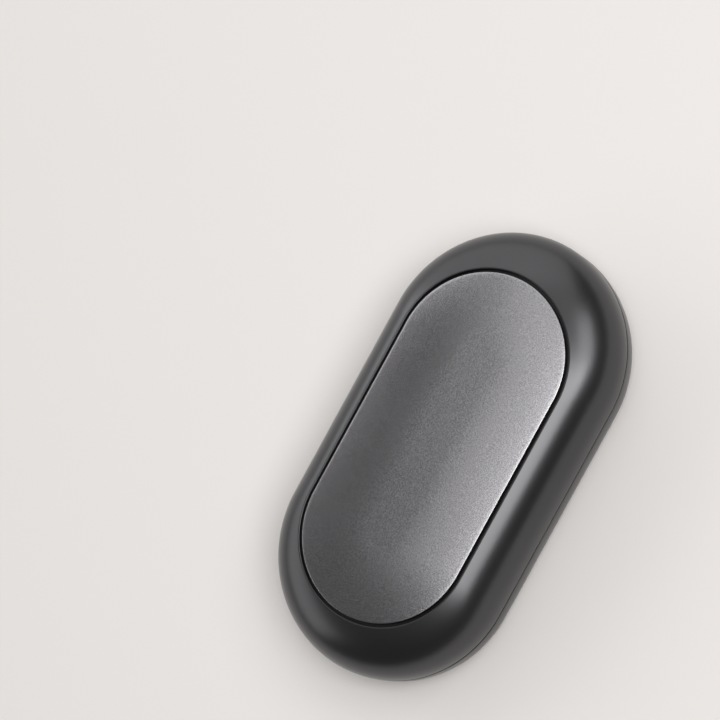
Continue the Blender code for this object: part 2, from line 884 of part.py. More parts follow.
def tact_switch(body_look, plunger_look):
    """Side-acting switch: a body with a blind bore, and the plunger that slides in it."""
    size = switch_size
    centre = Vector((0, switch_front - size[1] / 2, button_height))
    body = block("switch_body", size, centre, body_look)
    plunger_back = switch_front - plunger_hold
    shape = bmesh.new()
    bore_back = plunger_back - button_travel - bond_gap
    upright_rod_into(shape, plunger_radius + bond_gap, bore_back, switch_front + overrun)
    combine(body, place_tool("switch_bore", shape), "DIFFERENCE")
    shape = bmesh.new()
    upright_rod_into(shape, plunger_radius, plunger_back, plunger_front)
    return place("switch_plunger", shape, plunger_look)


def button_slide(pieces):
    """An empty on the button's line of travel, carrying the pieces that move together."""
    slide = bpy.data.objects.new("button_slide", None)
    slide.location = (0, half_length, button_height)
    bpy.context.scene.collection.objects.link(slide)
    for piece in pieces:
        piece.parent = slide
        piece.matrix_parent_inverse = Matrix.Translation(slide.location).inverted()


def light_pipe(look):
    """Clear bar behind the shells' wall with one pin to each light hole."""
    angles = light_angles()
    first = angles[0] - light_bar_margin / light_bar_radius
    last = angles[-1] + light_bar_margin / light_bar_radius
    inner = light_bar_radius
    outer = light_bar_radius + light_bar_depth
    half_tall = light_bar_height / 2
    rings = []
    for step in range(small_steps + 1):
        angle = first + (last - first) * step / small_steps
        out = Vector((-math.sin(angle), math.cos(angle), 0))
        centre = Vector((0, end_centre, button_height))
        up = Vector((0, 0, half_tall))
        rings.append([
            centre + out * inner - up,
            centre + out * outer - up,
            centre + out * outer + up,
            centre + out * inner + up,
        ])
    bar = place("light_pipe", skin(rings), look)
    shape = bmesh.new()
    middle = (inner + outer) / 2
    for angle in angles:
        radial_pin_into(shape, light_pin_radius, middle, half_width + overrun, angle)
    combine(bar, place_tool("light_pins", shape), "UNION")
    combine(bar, casing_offset("light_pin_ends", -light_pin_sink), "INTERSECT")
    return bar


def charge_lights(look):
    """One side-facing light chip behind each pin of the light pipe."""
    for index, angle in enumerate(light_angles()):
        shape = bmesh.new()
        size = light_size
        reach = light_ring_radius + size[1] / 2 - bond_gap
        z = button_board_top + bond_gap + size[2] / 2
        verts = box_into(shape, size, Vector((0, reach, z)))
        turn = Matrix.Translation((0, end_centre, 0)) @ Matrix.Rotation(angle, 4, "Z")
        bmesh.ops.transform(shape, matrix=turn, verts=verts)
        place("charge_light_" + str(index + 1), shape, look)


def screw(name, at, seat, radius, length, head_radius, head_height, look):
    """A pan-head screw standing head up at (x, y)."""
    shape = bmesh.new()
    low = seat + bond_gap
    profile = [
        (radius, low - length),
        (radius, low),
        (head_radius, low),
        (head_radius, low + head_height),
    ]
    turn_into(shape, profile, at)
    return place(name, shape, look)


def case_screws(look):
    """Four screws through the well's floor into the back shell, hidden by the plate."""
    for index, at in enumerate(case_screw_places()):
        screw(
            "case_screw_" + str(index + 1), at, bed_top, case_screw_radius, case_screw_length,
            case_screw_head_radius, case_screw_head_height, look,
        )


def board_screws(look):
    """Two screws through each board into the back shell's posts."""
    for index, (x, y, _, top) in enumerate(board_screw_places()):
        screw(
            "board_screw_" + str(index + 1), (x, y), top, board_screw_radius, board_screw_length,
            board_screw_head_radius, board_screw_head_height, look,
        )


def smooth_route(points, step):
    """Points at about the given spacing on a smooth curve, whose first and last runs are straight."""
    headings = [(points[1] - points[0]).normalized()] * 2
    for before, after in zip(points[1:-3], points[3:-1]):
        headings.append((after - before).normalized())
    headings += [(points[-1] - points[-2]).normalized()] * 2
    route = []
    for index, (start, end) in enumerate(zip(points, points[1:])):
        span = (end - start).length
        leave = headings[index] * span
        arrive = headings[index + 1] * span
        pieces = max(1, round(span / step))
        for piece in range(pieces):
            t = piece / pieces
            point = start * (2 * t**3 - 3 * t**2 + 1) + leave * (t**3 - 2 * t**2 + t)
            point += end * (3 * t**2 - 2 * t**3) + arrive * (t**3 - t**2)
            route.append(point)
    route.append(points[-1])
    return route


def lead(name, points, radius, look):
    """An insulated wire along a smooth route, with flat ends."""
    route = smooth_route([Vector(point) for point in points], 2 * radius * lead_step_share)
    curve = bpy.data.curves.new(name, "CURVE")
    curve.dimensions = "3D"
    curve.bevel_depth = radius
    curve.bevel_resolution = 2
    curve.use_fill_caps = True
    spline = curve.splines.new("POLY")
    spline.points.add(len(route) - 1)
    for knot, point in zip(spline.points, route):
        knot.co = (*point, 1.0)
    curve.materials.append(look)
    made = bpy.data.objects.new(name, curve)
    bpy.context.scene.collection.objects.link(made)
    return made


def battery_leads(red_look, black_look):
    """Red and black wires that rise from the protection board and bend over into the plug."""
    plug_x, plug_y = plug_place()
    plug_top = main_board_top + bond_gap + battery_socket_size[2] + plug_rise + bond_gap
    guard_y = cell_port_end - bond_gap - guard_board_length / 2
    guard_top = (cell_bottom + cell_top) / 2 + guard_board_thickness / 2 + bond_gap
    plug_pitch = battery_socket_size[0] - 2 * (socket_wall + heavy_lead_radius + bond_gap)
    straight = 2 * heavy_lead_radius
    apex = guard_top + straight + (guard_y - plug_y) / 2
    for name, side, look in (("battery_lead_red", -1, red_look), ("battery_lead_black", 1, black_look)):
        start_x = guard_lead_x + side * guard_lead_pitch / 2
        end_x = plug_x + side * plug_pitch / 2
        points = [
            (start_x, guard_y, guard_top),
            (start_x, guard_y, guard_top + straight),
            ((start_x + end_x) / 2, (guard_y + plug_y) / 2, apex),
            (end_x, plug_y, plug_top + straight),
            (end_x, plug_y, plug_top),
        ]
        lead(name, points, heavy_lead_radius, look)


def heater_leads(look):
    """Two wires from the film's tail down through the lead slot to the heater socket."""
    top = ledge_top - bond_gap
    socket_top = main_board_top + bond_gap + heater_socket_size[2] + bond_gap
    pitch = heater_socket_size[0] / 2 - 2 * heavy_lead_radius
    middle = (top + socket_top) / 2
    for name, side in (("heater_lead_left", -1), ("heater_lead_right", 1)):
        x = side * pitch
        points = [(x, -boss_y, top), (x, -boss_y, middle), (x, -boss_y, socket_top)]
        lead(name, points, heavy_lead_radius, look)


def sensor_lead(look):
    """Fine twin wire from the sensor along the pad's channel and down to the heater socket."""
    z = ledge_top - sensor_radius - bond_gap
    start_y = -boss_y + sensor_distance - sensor_length * 3 / 2 - bond_gap
    bend = lead_slot_length / 2 - sensor_lead_radius - bond_gap
    socket_top = main_board_top + bond_gap + heater_socket_size[2] + bond_gap
    points = [
        (0, start_y, z),
        (0, -boss_y + lead_slot_length, z),
        (0, -boss_y + bend / 2, z - bend / 2),
        (0, -boss_y, bed_bottom - bend),
        (0, -boss_y, socket_top),
    ]
    lead("sensor_lead", points, sensor_lead_radius, look)


def board_harness(look):
    """Round cable beside the cell that joins the two boards."""
    (main_x, main_y), (button_x, button_y) = harness_places()
    out = harness_socket_size[0] / 2 + bond_gap
    main_x += out
    button_x += out
    low = main_board_top + seat_gap + harness_radius
    high = button_board_top + seat_gap + harness_radius
    side_x = cradle_half_width + cradle_wall + harness_radius + seat_gap
    straight = bay_start - harness_run_in
    points = [
        (main_x, main_y, low),
        (main_x + harness_radius, main_y, low),
        (side_x, -straight, low),
        (side_x, 0, (low + high) / 2),
        (side_x, straight, high),
        (button_x + harness_radius, button_y, high),
        (button_x, button_y, high),
    ]
    lead("board_harness", points, harness_radius, look)


def build():
    """Makes the helper solids first, then every piece from the back shell outwards."""
    clear_scene()
    casing = surface("satin_grey_casing", (0.052, 0.052, 0.056), 0.36)
    anodised = surface("anodised_plate", (0.115, 0.113, 0.120), 0.38, 1.0)
    tape = surface("black_tape", (0.010, 0.010, 0.011), 0.60)
    film = surface("amber_film", (0.420, 0.160, 0.030), 0.30)
    foam = surface("grey_foam", (0.110, 0.110, 0.115), 0.90)
    cell = surface("cell_foil", (0.480, 0.490, 0.510), 0.38, 0.6)
    nickel = surface("nickel_tab", (0.560, 0.540, 0.500), 0.30, 1.0)
    steel = surface("socket_steel", (0.500, 0.500, 0.510), 0.25, 1.0)
    screw_steel = surface("screw_steel", (0.180, 0.180, 0.190), 0.32, 1.0)
    board = surface("green_board", (0.015, 0.090, 0.040), 0.40)
    chip = surface("black_chip", (0.016, 0.016, 0.018), 0.45)
    ferrite = surface("dark_ferrite", (0.070, 0.070, 0.075), 0.60)
    socket = surface("white_socket", (0.640, 0.620, 0.560), 0.50)
    black_plastic = surface("black_plastic", (0.012, 0.012, 0.013), 0.42)
    cap = surface("button_plastic", (0.040, 0.040, 0.043), 0.36)
    clear = surface("milky_light_pipe", (0.720, 0.730, 0.740), 0.20)
    lamp = surface("light_chip", (0.800, 0.760, 0.560), 0.35)
    red = surface("red_wire", (0.480, 0.020, 0.015), 0.45)
    black = surface("black_wire", (0.014, 0.014, 0.015), 0.45)
    white = surface("white_wire", (0.600, 0.600, 0.590), 0.50)

    back_posts()
    cell_cradle()
    post_cutter()
    port_cutter()
    button_cutter()
    light_cutter()
    bed_cutter()

    back_shell(casing)
    cell_pads(foam)
    battery_cell(cell)
    cell_guard(board, nickel)
    bay_board("main_board", main_board_radius, main_board_bottom, -1, board)
    charging_socket(steel, black_plastic)
    main_board_parts(chip, ferrite, socket)
    battery_connector(socket)
    bay_board("button_board", button_board_radius, button_board_bottom, 1, board)
    harness_sockets(socket)
    plunger = tact_switch(black_plastic, socket)
    button = button_cap(cap)
    button_slide((button, plunger))
    charge_lights(lamp)
    light_pipe(clear)
    board_screws(screw_steel)
    battery_leads(red, black)
    board_harness(black)
    front_shell(casing)
    case_screws(screw_steel)
    insulation_pad(foam)
    temperature_sensor(chip)
    sensor_lead(white)
    heater_leads(red)
    heater_film(film)
    plate_tape(tape)
    heat_plate(anodised)


build()
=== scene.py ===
"""Electric hand warmer: the finished look of a pill-shaped pocket heater with an inset metal plate.

Metres, +Z up. The flat back lies on the floor, the charging port is in the -Y end, and the
power button and its lights are in the +Y end. Pieces follow in the order they are put together.
"""

import math

import bmesh
import bpy
from mathutils import Matrix, Vector


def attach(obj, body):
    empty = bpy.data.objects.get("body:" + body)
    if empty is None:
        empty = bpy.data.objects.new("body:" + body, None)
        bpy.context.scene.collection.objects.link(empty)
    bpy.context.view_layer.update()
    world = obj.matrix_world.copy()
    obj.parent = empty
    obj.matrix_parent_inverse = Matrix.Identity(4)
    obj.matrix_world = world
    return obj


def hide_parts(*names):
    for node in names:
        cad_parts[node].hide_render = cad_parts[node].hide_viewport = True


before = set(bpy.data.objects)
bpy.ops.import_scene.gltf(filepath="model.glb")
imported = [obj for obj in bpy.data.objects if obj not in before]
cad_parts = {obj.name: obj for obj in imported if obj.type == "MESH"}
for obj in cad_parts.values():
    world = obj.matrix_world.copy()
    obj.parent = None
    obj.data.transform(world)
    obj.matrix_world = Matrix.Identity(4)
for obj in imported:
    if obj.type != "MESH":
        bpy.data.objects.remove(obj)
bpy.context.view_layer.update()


# Back shell
# A shallow tray moulded in satin grey plastic, the half that rests on the table. A tongue round
# its edge stands inside the front shell, a rib frame holds the cell, and its posts carry the boards.
half_length = 0.0490
half_width = 0.0258
end_centre = half_length - half_width
split_height = 0.0080
split_gap = 0.0004
split_round = 0.0001
# How far the painted shade on the walls of the seam and the well fades in.
painted_shade_fade = 0.00003
seam_steps = 4
base_inset = 0.0055
base_roundness = 2.8
base_steps = 30
rim_height = 0.0194
rim_shown_share = 0.45
rim_roundness = 2.5
lip_half_width = 0.0193
lip_half_length = 0.0390
wall = 0.0020
roof_wall = 0.0016
back_floor = 0.0020
floor_inset = 0.0058
floor_steps = 8
lip_wall = 0.0010
tongue_wall = 0.0009
tongue_height = 0.0012
seat_gap = 0.0003
port_half_across = 0.00477
port_half_tall = 0.00193
port_round = 0.00025
boss_x = 0.006507
boss_y = 0.0324
boss_radius = 0.0022
boss_shoulder = 0.0006
boss_top = 0.01555
pilot_radius = 0.0011
post_radius = 0.0019
post_pilot_radius = 0.0009
main_board_bottom = 0.00527
button_board_bottom = 0.00515
main_screw_x = 0.013956
main_screw_y = 0.036677
button_screw_x = 0.011407
button_screw_y = 0.0340
cradle_half_width = 0.0183
cradle_half_length = 0.0283
cradle_wall = 0.0010
cradle_top = 0.0060
smooth_angle = math.radians(32)
body_steps = 96
post_steps = 24
end_hole_steps = 48
weld_distance = 0.0000005
tool_overrun = 0.0010
mouth_flare_share = 1.2
mouth_rise_share = 0.27
mouth_degrees = (30, 50, 70, 90)
drift_per_metre = 38
peel_per_metre = 2600
peel_depth = 0.0000035
gloss_drift = 0.05
paint_metallic = 0.9
# Painted shade: the near-black colour painted on the walls of the parting line and the well.
painted_seam_shade = (0.004, 0.004, 0.004)
rim_rise_share = (1 - (1 - rim_shown_share) ** rim_roundness) ** (1 / rim_roundness)
crest_rise = (rim_height - split_height) / rim_rise_share
crest_from_side = (half_width - lip_half_width) / rim_shown_share
crest_from_end = (half_length - lip_half_length) / rim_shown_share


class Form:
    """A closed wall drawn outline by outline. Each outline is a pill, or a circle where its two
    half sizes match, extruded from the last one and redrawn to its own half sizes and height.
    Its points lie on the round ends only, so the straight sides don't follow a curved height."""

    def __init__(self, across, along, height, steps=body_steps, shape=None):
        self.shape = bmesh.new() if shape is None else shape
        self.centre = along - across
        before = set(self.shape.verts)
        drawn = bmesh.ops.create_vert(self.shape, co=(across, self.centre, 0))["vert"]
        for side in (1, -1):
            turned = bmesh.ops.spin(
                self.shape, geom=drawn, cent=(0, side * self.centre, 0), axis=(0, 0, 1),
                angle=math.pi, steps=steps,
            )
            last = [item for item in turned["geom_last"] if isinstance(item, bmesh.types.BMVert)]
            drawn = bmesh.ops.extrude_vert_indiv(self.shape, verts=last)["verts"]
            bmesh.ops.translate(self.shape, verts=drawn, vec=(0, -2 * side * self.centre, 0))
        fresh = [point for point in self.shape.verts if point not in before]
        bmesh.ops.remove_doubles(self.shape, verts=fresh, dist=weld_distance)
        self.points = [point for point in self.shape.verts if point not in before]
        self.ring = list({edge for point in self.points for edge in point.link_edges})
        self.lift(self.points, height)

    def lift(self, points, height):
        """Puts an outline at a height, which is a number or worked out from x and y."""
        for point in points:
            point.co.z = height(point.co.x, point.co.y) if callable(height) else height

    def to(self, across, along, height):
        """Extrudes the last outline and redraws it."""
        made = bmesh.ops.extrude_edge_only(self.shape, edges=self.ring)["geom"]
        fresh = [item for item in made if isinstance(item, bmesh.types.BMVert)]
        known = set(fresh)
        edges = [item for item in made if isinstance(item, bmesh.types.BMEdge)]
        self.ring = [edge for edge in edges if known.issuperset(edge.verts)]
        centre = along - across
        for point in fresh:
            end = math.copysign(1, point.co.y)
            x = point.co.x
            y = point.co.y - end * self.centre
            size = across / math.hypot(x, y)
            point.co.x = x * size
            point.co.y = y * size + end * centre
        self.centre = centre
        self.lift(fresh, height)
        self.points += fresh
        return self

    def close(self):
        """Fills the last outline with a face."""
        bmesh.ops.contextual_create(self.shape, geom=self.ring)
        return self

    def place(self, matrix):
        """Moves or turns everything drawn so far."""
        bmesh.ops.transform(self.shape, matrix=matrix, verts=self.points)
        return self


def bull_nose(span, rise, roundness, start, finish, steps):
    """(inset, height) pairs up a rounded edge that would run level at rise, between two heights."""
    first = math.asin((start / rise) ** (roundness / 2))
    last = math.asin((finish / rise) ** (roundness / 2))
    pairs = []
    for step in range(steps + 1):
        angle = first + (last - first) * step / steps
        run = max(math.cos(angle), 0) ** (2 / roundness)
        pairs.append((span * (1 - run), rise * math.sin(angle) ** (2 / roundness)))
    return pairs


def rounded(steps):
    """(1 - cosine, 1 - sine) at each step through a quarter turn, for rounded edges."""
    angles = [math.radians(90) * step / steps for step in range(steps + 1)]
    return [(1 - math.cos(angle), 1 - math.sin(angle)) for angle in angles]


def outline(z, border=0.0, lower=0.0):
    """Half sizes of the casing at height z: outside, or inside a border and under a lower roof."""
    if z > split_height:
        rise = (z - split_height) / (crest_rise - lower)
        share = 1 - (1 - rise**rim_roundness) ** (1 / rim_roundness)
        across = half_width - border - (crest_from_side - border) * share
        along = half_length - border - (crest_from_end - border) * share
        return across, along
    share = (split_height - z) / split_height
    inset = base_inset * (1 - (1 - share**base_roundness) ** (1 / base_roundness))
    return half_width - inset, half_length - inset


def end_reach(x, z, *inside):
    """Distance along Y from the middle to the casing's outside, or its inside, at (x, z)."""
    across, along = outline(z, *inside)
    return along - across + math.sqrt(across * across - x * x)


def upright(z):
    """Stands a form in an end wall: its length runs along X, its width up from z, its height along Y."""
    return Matrix(((0, 1, 0, 0), (0, 0, 1, 0), (1, 0, 0, z), (0, 0, 0, 1)))


def end_hole(half_tall, half_across, z, end, edge_round, depth):
    """A tool that cuts a pill-shaped hole through an end wall. The mouth is softly rounded at the
    hole's round ends, and sunk by up to 0.4 mm along its straight sides, where the wall bulges."""
    def surface(inwards):
        return lambda up, x: end * (end_reach(x, z + up) - inwards)

    flare = mouth_flare_share * edge_round
    start = end * (half_length + tool_overrun)
    hole = Form(half_tall + flare, half_across + flare, start, end_hole_steps).close()
    hole.to(half_tall + flare, half_across + flare, surface(-mouth_rise_share * edge_round))
    for degrees in mouth_degrees:
        angle = math.radians(degrees)
        out = edge_round * (1 - math.sin(angle))
        down = edge_round * (1 - math.cos(angle))
        hole.to(half_tall + out, half_across + out, surface(down))
    hole.to(half_tall, half_across, end * depth).close()
    return hole.place(upright(z)).shape


def solid(name, shape):
    """A finished mesh as a smooth shaded object with its faces pointing outwards."""
    bmesh.ops.recalc_face_normals(shape, faces=shape.faces[:])
    if shape.calc_volume(signed=True) < 0:
        bmesh.ops.reverse_faces(shape, faces=shape.faces[:])
    mesh = bpy.data.meshes.new(name)
    shape.to_mesh(mesh)
    shape.free()
    mesh.shade_smooth()
    mesh.set_sharp_from_angle(angle=smooth_angle)
    made = bpy.data.objects.new(name, mesh)
    bpy.context.scene.collection.objects.link(made)
    return made


def cut(target, tool):
    """Cuts a tool's shape out of a piece and keeps the result as the piece's own mesh."""
    modifier = target.modifiers.new("cut", "BOOLEAN")
    modifier.operation = "DIFFERENCE"
    modifier.solver = "EXACT"
    modifier.object = tool
    seen = target.evaluated_get(bpy.context.evaluated_depsgraph_get())
    mesh = bpy.data.meshes.new_from_object(seen)
    target.modifiers.remove(modifier)
    target.data = mesh
    mesh.shade_smooth()
    mesh.set_sharp_from_angle(angle=smooth_angle)
    bpy.data.objects.remove(tool)


class Reading:
    """A number read in a material. Sums written with it become Math nodes."""

    def __init__(self, finish, socket):
        self.finish = finish
        self.socket = socket

    def sum(self, operation, *values):
        node = self.finish.node("ShaderNodeMath", {"operation": operation}, dict(enumerate(values)))
        return Reading(self.finish, node.outputs[0])

    def __add__(self, other):
        return self.sum("ADD", self, other)

    def __sub__(self, other):
        return self.sum("SUBTRACT", self, other)

    def __rsub__(self, other):
        return self.sum("SUBTRACT", other, self)

    def __mul__(self, other):
        return self.sum("MULTIPLY", self, other)

    def __truediv__(self, other):
        return self.sum("DIVIDE", self, other)

    __radd__ = __add__

    def part(self):
        """What is left of the number after its whole part."""
        return self.sum("FRACT", self)

    def size(self):
        """The number without its sign."""
        return self.sum("ABSOLUTE", self)

    def at_least(self, lowest):
        """The number, or the lowest where that is more."""
        return self.sum("MAXIMUM", self, lowest)

    def root(self):
        """The number's square root."""
        return self.sum("SQRT", self)

    def spread(self, low, contrast):
        """The number less a low end, times a contrast."""
        return (self - low) * contrast

    def above(self, low, high):
        """0 below low and 1 above high, with a soft step between."""
        settings = {"interpolation_type": "SMOOTHSTEP"}
        sockets = {"Value": self, "From Min": low, "From Max": high}
        node = self.finish.node("ShaderNodeMapRange", settings, sockets)
        return Reading(self.finish, node.outputs["Result"])


class Finish:
    """One procedural finish: a shader, and the nodes that vary it over a piece."""

    def __init__(self, name, roughness, metallic=0.0, specular=0.5):
        self.material = bpy.data.materials.new(name)
        self.material.use_nodes = True
        self.tree = self.material.node_tree
        self.shader = self.tree.nodes["Principled BSDF"]
        self.feed(self.shader.inputs["Roughness"], roughness)
        self.feed(self.shader.inputs["Metallic"], metallic)
        self.feed(self.shader.inputs["Specular IOR Level"], specular)

    def feed(self, socket, value):
        """Sets a socket to a value, or links a reading or another node's socket to it."""
        if isinstance(value, Reading):
            value = value.socket
        if isinstance(value, bpy.types.NodeSocket):
            self.tree.links.new(value, socket)
        else:
            socket.default_value = value

    def node(self, kind, settings, sockets):
        """Any node: its settings first, then the values or links of its sockets."""
        made = self.tree.nodes.new(kind)
        for name, value in settings.items():
            setattr(made, name, value)
        for name, value in sockets.items():
            self.feed(made.inputs[name], value)
        return made

    def place(self, centre=(0, 0, 0), turn=0.0, stretch=(1, 1, 1)):
        """Where a point lies on the object, seen from a centre, turned about Z and stretched."""
        found = self.node("ShaderNodeTexCoord", {}, {}).outputs["Object"]
        sockets = {
            "Vector": found, "Location": [-value for value in centre],
            "Rotation": (0, 0, turn), "Scale": stretch,
        }
        return self.node("ShaderNodeMapping", {"vector_type": "POINT"}, sockets).outputs[0]

    def axes(self, place):
        """The three coordinates of a place."""
        node = self.node("ShaderNodeSeparateXYZ", {}, {0: place})
        return [Reading(self, socket) for socket in node.outputs]

    def cloud(self, place, per_metre, detail=2.0):
        """Soft random variation about one half, with so many patches to the metre."""
        sockets = {"Vector": place, "Scale": per_metre, "Detail": detail}
        return Reading(self, self.node("ShaderNodeTexNoise", {}, sockets).outputs[0])

    def cells(self, place, per_metre):
        """Distance from the middle of the nearest of many random cells."""
        sockets = {"Vector": place, "Scale": per_metre}
        return Reading(self, self.node("ShaderNodeTexVoronoi", {}, sockets).outputs["Distance"])

    def blend(self, share, first, second):
        """A colour between two colours."""
        colours = [(*value, 1) if isinstance(value, tuple) else value for value in (first, second)]
        settings = {"data_type": "RGBA"}
        sockets = {0: share, 6: colours[0], 7: colours[1]}
        return self.node("ShaderNodeMix", settings, sockets).outputs[2]

    def paint(self, colour):
        """Gives the shader its colour."""
        self.feed(self.shader.inputs["Base Color"], colour)
        return self

    def relief(self, height, depth):
        """Raises the surface by a height between 0 and 1, times a depth in metres."""
        sockets = {"Height": height, "Distance": depth, "Strength": 1.0}
        node = self.node("ShaderNodeBump", {}, sockets)
        self.feed(self.shader.inputs["Normal"], node.outputs["Normal"])
        return self


def satin_plastic(name, colour, lighter, roughness):
    """Painted satin plastic: an even colour with a hair-fine orange peel and a faint drift in gloss."""
    finish = Finish(name, roughness, paint_metallic)
    place = finish.place()
    drift = finish.cloud(place, drift_per_metre, detail=3)
    peel = finish.cloud(place, peel_per_metre, detail=1)
    finish.paint(finish.blend(drift.spread(low=0.3, contrast=1.6), colour, lighter))
    smoothest = roughness - gloss_drift / 2
    finish.feed(finish.shader.inputs["Roughness"], drift * gloss_drift + smoothest)
    return finish.relief(peel, peel_depth)


def wear(piece, finish, body="housing", stands_for=()):
    """Gives a piece its finish, lets it ride on a body, and hides what it stands for."""
    piece.data.materials.clear()
    piece.data.materials.append(finish.material)
    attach(piece, body)
    if stands_for:
        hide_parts(*stands_for)


def casing_plastic(name, well=None):
    """The casing's finish. The walls of the parting line, and of a well of a given half width and end
    centre, are painted nearly black and not metallic: painted shade in the gaps."""
    finish = satin_plastic(name, (0.075, 0.075, 0.078), (0.084, 0.084, 0.087), roughness=0.30)
    x, y, z = finish.axes(finish.place((0, 0, split_height)))
    seam_edge = split_gap / 2 + split_round
    clear_of_painted_shade = z.size().above(seam_edge, seam_edge + painted_shade_fade)
    if well:
        well_width, well_end_centre = well
        along = (y.size() - well_end_centre).at_least(0)
        reach = (x * x + along * along).root()
        clear_of_painted_shade = clear_of_painted_shade * reach.above(well_width, well_width + painted_shade_fade)
    grey = finish.shader.inputs["Base Color"].links[0].from_socket
    # Painted shade: the walls of the seam and the well are painted nearly black and not metallic.
    finish.paint(finish.blend(clear_of_painted_shade, painted_seam_shade, grey))
    finish.feed(finish.shader.inputs["Metallic"], clear_of_painted_shade * paint_metallic)
    return finish


# Painted shade: this finish paints the walls of the parting line nearly black.
casing_finish = casing_plastic("satin_grey_casing")

base = Form(half_width - base_inset, half_length - base_inset, 0).close()
edge_start = split_gap / 2 + split_round
side_curve = bull_nose(base_inset, split_height, base_roundness, edge_start, split_height, base_steps)
for inset, depth in reversed(side_curve[:-1]):
    base.to(half_width - inset, half_length - inset, split_height - depth)
for near, far in rounded(seam_steps)[1:]:
    inset = split_round * near
    drop = split_round * far
    base.to(half_width - inset, half_length - inset, split_height - split_gap / 2 - drop)
tongue_inset = lip_wall + seat_gap
tongue_top = split_height + tongue_height
inner_inset = tongue_inset + tongue_wall
base.to(half_width - tongue_inset, half_length - tongue_inset, split_height - split_gap / 2)
base.to(half_width - tongue_inset, half_length - tongue_inset, tongue_top)
base.to(half_width - inner_inset, half_length - inner_inset, tongue_top)
floor_depth = split_height - back_floor
floor_span = floor_inset - inner_inset
for inset, depth in bull_nose(floor_span, floor_depth, base_roundness, 0, floor_depth, floor_steps):
    across = inner_inset + inset
    base.to(half_width - across, half_length - across, split_height - depth)
base.close()

back_shell = solid("back_casing", base.shape)
wear(back_shell, casing_finish, stands_for=("back_shell",))


def post(shape, at, radius, top, pilot, shoulder=0.0, shoulder_height=0.0):
    """A round post on the tray's floor with a pilot hole, and a shoulder round its foot."""
    made = Form(radius + shoulder, radius + shoulder, back_floor, post_steps, shape).close()
    if shoulder:
        made.to(radius + shoulder, radius + shoulder, shoulder_height)
        made.to(radius, radius, shoulder_height)
    made.to(radius, radius, top)
    made.to(pilot, pilot, top)
    made.to(pilot, pilot, back_floor + seat_gap).close()
    made.place(Matrix.Translation((at[0], at[1], 0)))


posts = bmesh.new()
for side in (-1, 1):
    for end, underside in ((-1, main_board_bottom), (1, button_board_bottom)):
        at = (side * boss_x, end * boss_y)
        post(posts, at, boss_radius, boss_top, pilot_radius, boss_shoulder, underside - seat_gap)
    at = (side * main_screw_x, -main_screw_y)
    post(posts, at, post_radius, main_board_bottom - seat_gap, post_pilot_radius)
    at = (side * button_screw_x, button_screw_y)
    post(posts, at, post_radius, button_board_bottom - seat_gap, post_pilot_radius)

cradle_walls = (
    (cradle_half_width + cradle_wall / 2, 0, cradle_wall, 2 * (cradle_half_length + cradle_wall)),
    (0, cradle_half_length + cradle_wall / 2, 2 * cradle_half_width, cradle_wall),
)
for side in (-1, 1):
    for x, y, across, along in cradle_walls:
        size = Matrix.Diagonal((across, along, cradle_top - back_floor, 1))
        middle = Matrix.Translation((side * x, side * y, (cradle_top + back_floor) / 2))
        bmesh.ops.create_cube(posts, size=1, matrix=middle @ size)
wear(solid("casing_posts", posts), casing_finish)


# Cell, foam pads and protection board
# A flat pouch cell in crinkled laminate foil lies in the rib frame between two foam pads. Its
# nickel tabs are welded to a small green board across the end that faces the charging port.
guard_board_middle = (0, -0.028, 0)
main_board_middle = (0, -0.036, 0)
button_board_middle = (0, 0.036, 0)
pore_depth = 0.00012
tracks_per_metre = 900
track_depth = 0.00002
drawing_lines_per_metre = 1800
drawing_depth = 0.000006
crinkles_per_metre = 240
crinkle_depth = 0.00025


def foam_finish(name, colour, darker, per_metre):
    """Open-celled foam: pitted pores in a matte skin, painted darker as painted shade in the pits."""
    finish = Finish(name, roughness=0.92, specular=0.2)
    pores = finish.cells(finish.place(), per_metre).above(0.15, 0.6)
    # Painted shade: the pores are painted darker than the skin.
    finish.paint(finish.blend(pores, darker, colour))
    return finish.relief(pores, pore_depth)


def board_finish(name, centre):
    """Green solder mask over copper tracks, with bare gold pads."""
    finish = Finish(name, roughness=0.36)
    place = finish.place(centre)
    x, y = finish.axes(place)[:2]
    patch = finish.cells(place, per_metre=260)
    along = ((x * tracks_per_metre).part() - 0.5).size()
    across = ((y * tracks_per_metre).part() - 0.5).size()
    tracks = (0.5 - along * patch.above(0.2, 0.3) - across * 0.4).above(0.22, 0.28)
    pad_place = finish.place(centre, turn=0.4)
    pads = (0.16 - finish.cells(pad_place, per_metre=420)).above(0.0, 0.02)
    mask = finish.blend(tracks, (0.010, 0.070, 0.030), (0.020, 0.125, 0.055))
    finish.paint(finish.blend(pads, mask, (0.62, 0.46, 0.20)))
    finish.feed(finish.shader.inputs["Metallic"], pads)
    return finish.relief(tracks, track_depth)


def metal_finish(name, colour, lighter, roughness, stretch):
    """Bare metal with fine drawing lines along its length."""
    finish = Finish(name, roughness, metallic=1.0)
    lines = finish.cloud(finish.place(stretch=stretch), drawing_lines_per_metre, detail=3)
    finish.paint(finish.blend(lines, colour, lighter))
    return finish.relief(lines, drawing_depth)


def dress(names, finish):
    """Gives CAD nodes their finish."""
    for name in names:
        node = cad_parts[name]
        node.data.materials.clear()
        node.data.materials.append(finish.material)


pad_foam = foam_finish("grey_foam", (0.115, 0.115, 0.120), (0.050, 0.050, 0.052), per_metre=2200)
dress(("lower_cell_pad", "upper_cell_pad"), pad_foam)

foil = Finish("cell_foil", roughness=0.34, metallic=0.85)
foil_place = foil.place(stretch=(1, 0.6, 1))
crinkle = foil.cloud(foil_place, crinkles_per_metre, detail=4)
sheen = foil.cloud(foil_place, per_metre=60, detail=2)
foil.paint(foil.blend(sheen, (0.44, 0.45, 0.47), (0.54, 0.55, 0.57)))
foil.feed(foil.shader.inputs["Roughness"], crinkle * 0.3 + 0.2)
foil.relief(crinkle, crinkle_depth)
dress(("battery_cell",), foil)

